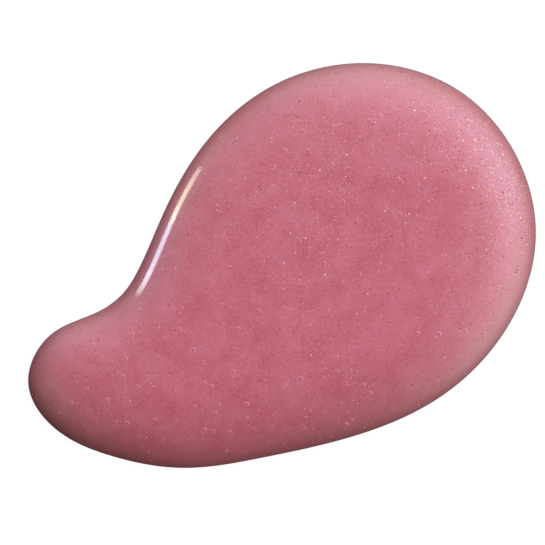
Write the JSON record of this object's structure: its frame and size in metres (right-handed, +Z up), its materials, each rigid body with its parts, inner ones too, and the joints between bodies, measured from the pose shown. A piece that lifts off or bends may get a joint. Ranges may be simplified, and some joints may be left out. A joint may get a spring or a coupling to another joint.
{
  "type": "lip gloss pool",
  "caption": "Poured comma-shaped pool of milky rose shimmer lip gloss, with round glossy edges, a flat underside, and suspended pearl flakes and red pigment grains.",
  "frame": {"origin": "middle of the pool's length and width, on the surface it lies on", "axes": "+X along the pool's length, from the poured tail to the wide end; +Z up, through its thickness; +Y across it"},
  "size_m": [0.034, 0.0272, 0.0025],
  "materials": {
    "rose_gloss": "wet, glossy, milky rose-pink cosmetic gel with a soft mica sheen",
    "red_pigment": "matte mineral pigment grain wetted by the gel",
    "gold_mica": "mica flake with a gold interference coat, bright when it faces the light",
    "pearl_mica": "mica flake with a white pearl coat",
    "violet_mica": "mica flake with a violet interference coat"
  },
  "bodies": {
    "root": {"gloss_pool": "rose_gloss", "red_pigment_grain_01": "red_pigment", "red_pigment_grain_02": "red_pigment", "red_pigment_grain_03": "red_pigment", "red_pigment_grain_04": "red_pigment", "red_pigment_grain_05": "red_pigment", "red_pigment_grain_06": "red_pigment", "red_pigment_grain_07": "red_pigment", "red_pigment_grain_08": "red_pigment", "red_pigment_grain_09": "red_pigment", "red_pigment_grain_10": "red_pigment", "red_pigment_grain_11": "red_pigment", "red_pigment_grain_12": "red_pigment", "red_pigment_grain_13": "red_pigment", "red_pigment_grain_14": "red_pigment", "gold_flake_01": "gold_mica", "gold_flake_02": "gold_mica", "gold_flake_03": "gold_mica", "gold_flake_04": "gold_mica", "gold_flake_05": "gold_mica", "gold_flake_06": "gold_mica", "gold_flake_07": "gold_mica", "gold_flake_08": "gold_mica", "gold_flake_09": "gold_mica", "gold_flake_10": "gold_mica", "gold_flake_11": "gold_mica", "gold_flake_12": "gold_mica", "gold_flake_13": "gold_mica", "gold_flake_14": "gold_mica", "gold_flake_15": "gold_mica", "pearl_flake_01": "pearl_mica", "pearl_flake_02": "pearl_mica", "pearl_flake_03": "pearl_mica", "pearl_flake_04": "pearl_mica", "pearl_flake_05": "pearl_mica", "pearl_flake_06": "pearl_mica", "pearl_flake_07": "pearl_mica", "pearl_flake_08": "pearl_mica", "pearl_flake_09": "pearl_mica", "pearl_flake_10": "pearl_mica", "pearl_flake_11": "pearl_mica", "pearl_flake_12": "pearl_mica", "violet_flake_01": "violet_mica", "violet_flake_02": "violet_mica", "violet_flake_03": "violet_mica", "violet_flake_04": "violet_mica", "violet_flake_05": "violet_mica", "violet_flake_06": "violet_mica", "violet_flake_07": "violet_mica", "violet_flake_08": "violet_mica"}
  },
  "joints": []
}
